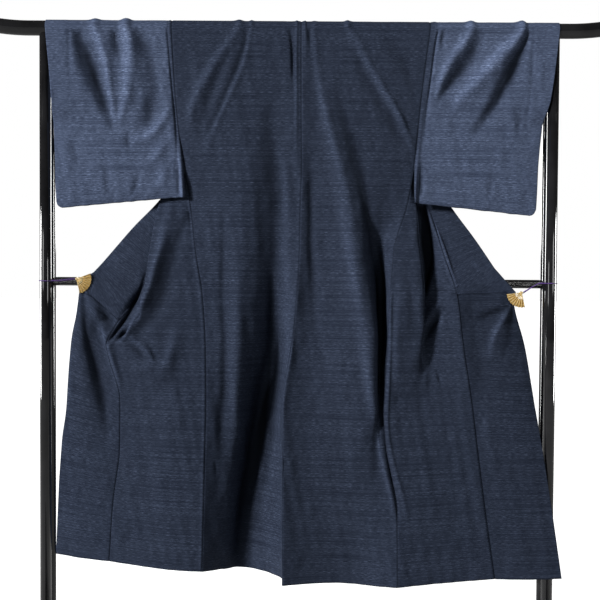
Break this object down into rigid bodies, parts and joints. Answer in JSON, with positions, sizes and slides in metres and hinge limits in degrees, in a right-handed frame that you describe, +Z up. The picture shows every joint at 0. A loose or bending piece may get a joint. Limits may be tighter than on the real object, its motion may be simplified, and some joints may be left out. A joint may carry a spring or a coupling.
{
  "type": "tsumugi kimono on a tubular kimono rack",
  "caption": "Unlined indigo tsumugi kimono draped back outward over a black tubular rack, its fronts drawn open by small gold fan clips.",
  "frame": {"origin": "on the floor, in the middle of the rack and under its top rod", "axes": "+Z up, +X along the rod to the right of someone who looks at the kimono's back, +Y from that viewer through the kimono, away from its back"},
  "size_m": [1.6822, 0.44, 1.7141],
  "materials": {
    "tsumugi_cloth": "dry slubbed silk, broken pale weft lines on indigo",
    "black_tube": "gloss black paint",
    "gold_clip": "polished gold plate",
    "elastic_cord": "thin round purple elastic cord"
  },
  "bodies": {
    "root": {"body_left": "tsumugi_cloth", "body_right": "tsumugi_cloth", "overlap_left": "tsumugi_cloth", "overlap_right": "tsumugi_cloth", "sleeve_left": "tsumugi_cloth", "sleeve_right": "tsumugi_cloth", "collar": "tsumugi_cloth", "rack_top_rod": "black_tube", "rack_front_post_left": "black_tube", "rack_front_post_right": "black_tube", "rack_rear_post_left": "black_tube", "rack_rear_post_right": "black_tube", "rack_foot_left": "black_tube", "rack_foot_right": "black_tube", "rack_mid_bar": "black_tube", "rack_spacer_left_1": "black_tube", "rack_spacer_left_2": "black_tube", "rack_spacer_left_3": "black_tube", "rack_spacer_right_1": "black_tube", "rack_spacer_right_2": "black_tube", "rack_spacer_right_3": "black_tube", "fan_clip_left": "gold_clip", "fan_clip_right": "gold_clip", "clip_cord_left": "elastic_cord", "clip_cord_right": "elastic_cord"}
  },
  "joints": []
}
